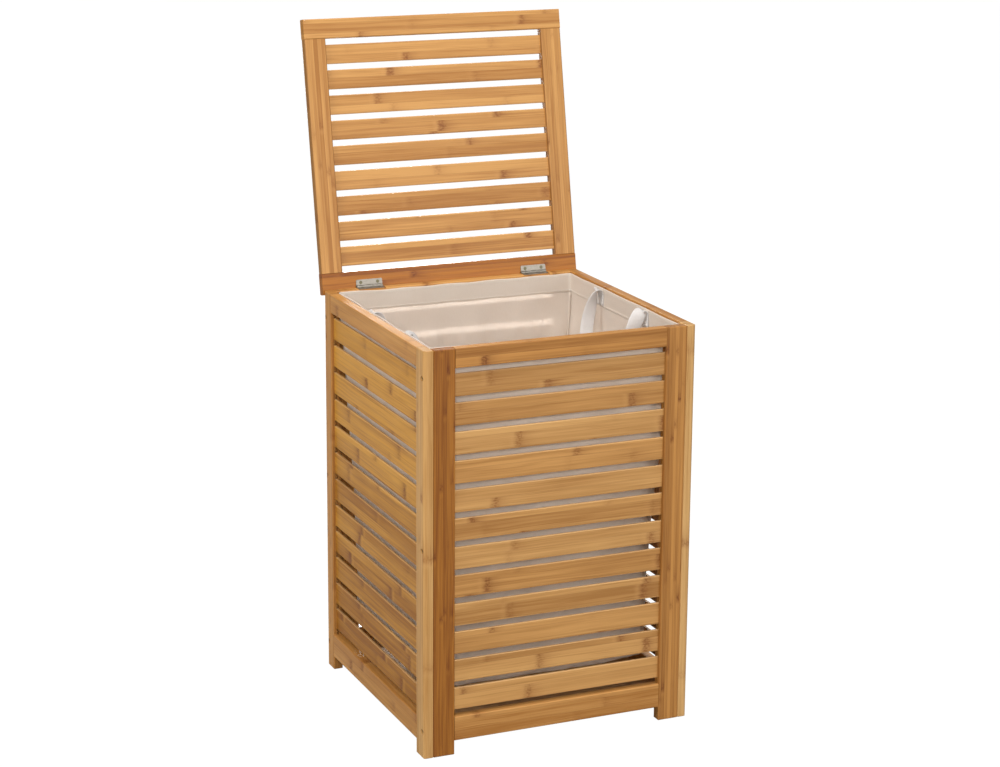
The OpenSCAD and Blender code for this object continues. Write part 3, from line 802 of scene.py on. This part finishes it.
# ---------------------------------------------------------------- the hamper
make_camera()
finish_wood()
linen = fabric("liner_fabric", linear(248, 237, 224), linear(232, 217, 201), 0.0009, 0.45)
hem_linen = fabric("hem_fabric", linear(247, 236, 223), linear(232, 217, 201), 0.0009, 0.43)
thread = fabric("thread", linear(244, 240, 232), linear(220, 212, 202), 0.0004, 0.0)
webbing = fabric("webbing", linear(236, 232, 229), linear(216, 211, 207), 0.0016, 0.35)
zinc = steel("zinc_plate", linear(176, 170, 160), linear(128, 120, 108), 0.42)
screw_zinc = steel("screw_zinc", linear(140, 134, 108), linear(84, 78, 60), 0.45)
board = plywood("plywood", linear(214, 178, 128), linear(176, 134, 84))
tape = nap("hook_and_loop", linear(240, 238, 232), linear(196, 192, 184))

for name in NODES:
    if "leaf" in name or "pin" in name:
        give(NODES[name], zinc)
    if "screws" in name:
        give(NODES[name], screw_zinc)
give(NODES["base_board"], board)
give(NODES["hook_and_loop_strips"], tape)

liner = make_liner()
give(liner, linen)
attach(liner, BODY)
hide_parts("liner_bag")

hem = make_hem()
give(hem, hem_linen)
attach(hem, BODY)
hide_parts("liner_hem")

for name, side, first_y, last_y, lift in HANDLES:
    handle, length = make_handle(name, side, first_y, last_y, lift)
    give(handle, webbing)
    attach(handle, BODY)
    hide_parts("liner_right_handle" if side > 0 else "liner_left_handle")

stitches = make_stitches()
give(stitches, thread)
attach(stitches, BODY)

seams = make_seams()
give(seams, hem_linen)
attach(seams, BODY)


# ---------------------------------------------------------------- studio
FLOOR_HALF = 9.0  # half the width of the floor
WORLD_SEEN = 1.05  # strength of the white that the camera sees
WORLD_DIM, WORLD_BRIGHT = 0.10, 0.60  # strength as light, away from WORLD_TOWARDS and along it
WORLD_TOWARDS = (0.35, -0.70, 0.62)
LAMPS = (  # name, place, target, size and power
    ("key", (-1.4, -2.9, 1.8), (0, 0, 0.45), 0.9, 50),
    ("right", (1.2, -2.8, 1.0), (0, 0, 0.25), 1.2, 16),
    ("left", (-2.7, -0.3, 2.1), (0, 0, 0.5), 1.2, 48),
    ("top", (0.0, -0.6, 2.9), (0, 0, 0.4), 1.0, 24),
    ("back", (0.4, 2.6, 0.8), (0, 0.2, 0.5), 1.2, 100),
)


def make_floor():
    cells = 6
    step = 2 * FLOOR_HALF / cells
    places = [step * i - FLOOR_HALF for i in range(cells + 1)]
    points = [Vector((x, y, 0)) for y in places for x in places]
    corners = [j * (cells + 1) + i for j in range(cells) for i in range(cells)]
    faces = [(a, a + 1, a + cells + 2, a + cells + 1) for a in corners]
    floor = new_mesh("floor", points, faces)
    give(floor, floor_paint("floor_paint"))


def area_light(name, place, target, size, power):
    data = bpy.data.lights.new(name, "AREA")
    data.shape = "DISK"
    data.size = size
    data.energy = power
    light = bpy.data.objects.new(name, data)
    light.location = place
    light.rotation_euler = (Vector(target) - Vector(place)).to_track_quat("-Z", "Y").to_euler()
    bpy.context.scene.collection.objects.link(light)


def make_studio():
    """White surroundings that give less light from below and behind, and soft lamps."""
    world = bpy.data.worlds.new("studio")
    bpy.context.scene.world = world
    world.use_nodes = True
    tree = world.node_tree
    background = tree.nodes["Background"]
    background.inputs["Color"].default_value = (1, 1, 1, 1)
    place = tree.nodes.new("ShaderNodeTexCoord")
    towards = tree.nodes.new("ShaderNodeVectorMath")
    towards.operation = "DOT_PRODUCT"
    towards.inputs[1].default_value = WORLD_TOWARDS
    tree.links.new(place.outputs["Generated"], towards.inputs[0])
    light = tree.nodes.new("ShaderNodeMapRange")
    light.inputs["From Min"].default_value = -0.7
    light.inputs["From Max"].default_value = 0.9
    light.inputs["To Min"].default_value = WORLD_DIM
    light.inputs["To Max"].default_value = WORLD_BRIGHT
    tree.links.new(towards.outputs["Value"], light.inputs["Value"])
    path = tree.nodes.new("ShaderNodeLightPath")
    strength = tree.nodes.new("ShaderNodeMix")
    tree.links.new(path.outputs["Is Camera Ray"], strength.inputs[0])
    tree.links.new(light.outputs["Result"], strength.inputs[2])
    strength.inputs[3].default_value = WORLD_SEEN
    tree.links.new(strength.outputs[0], background.inputs["Strength"])
    for lamp in LAMPS:
        area_light(*lamp)
    bpy.context.scene.view_settings.view_transform = "Standard"


make_floor()
make_studio()
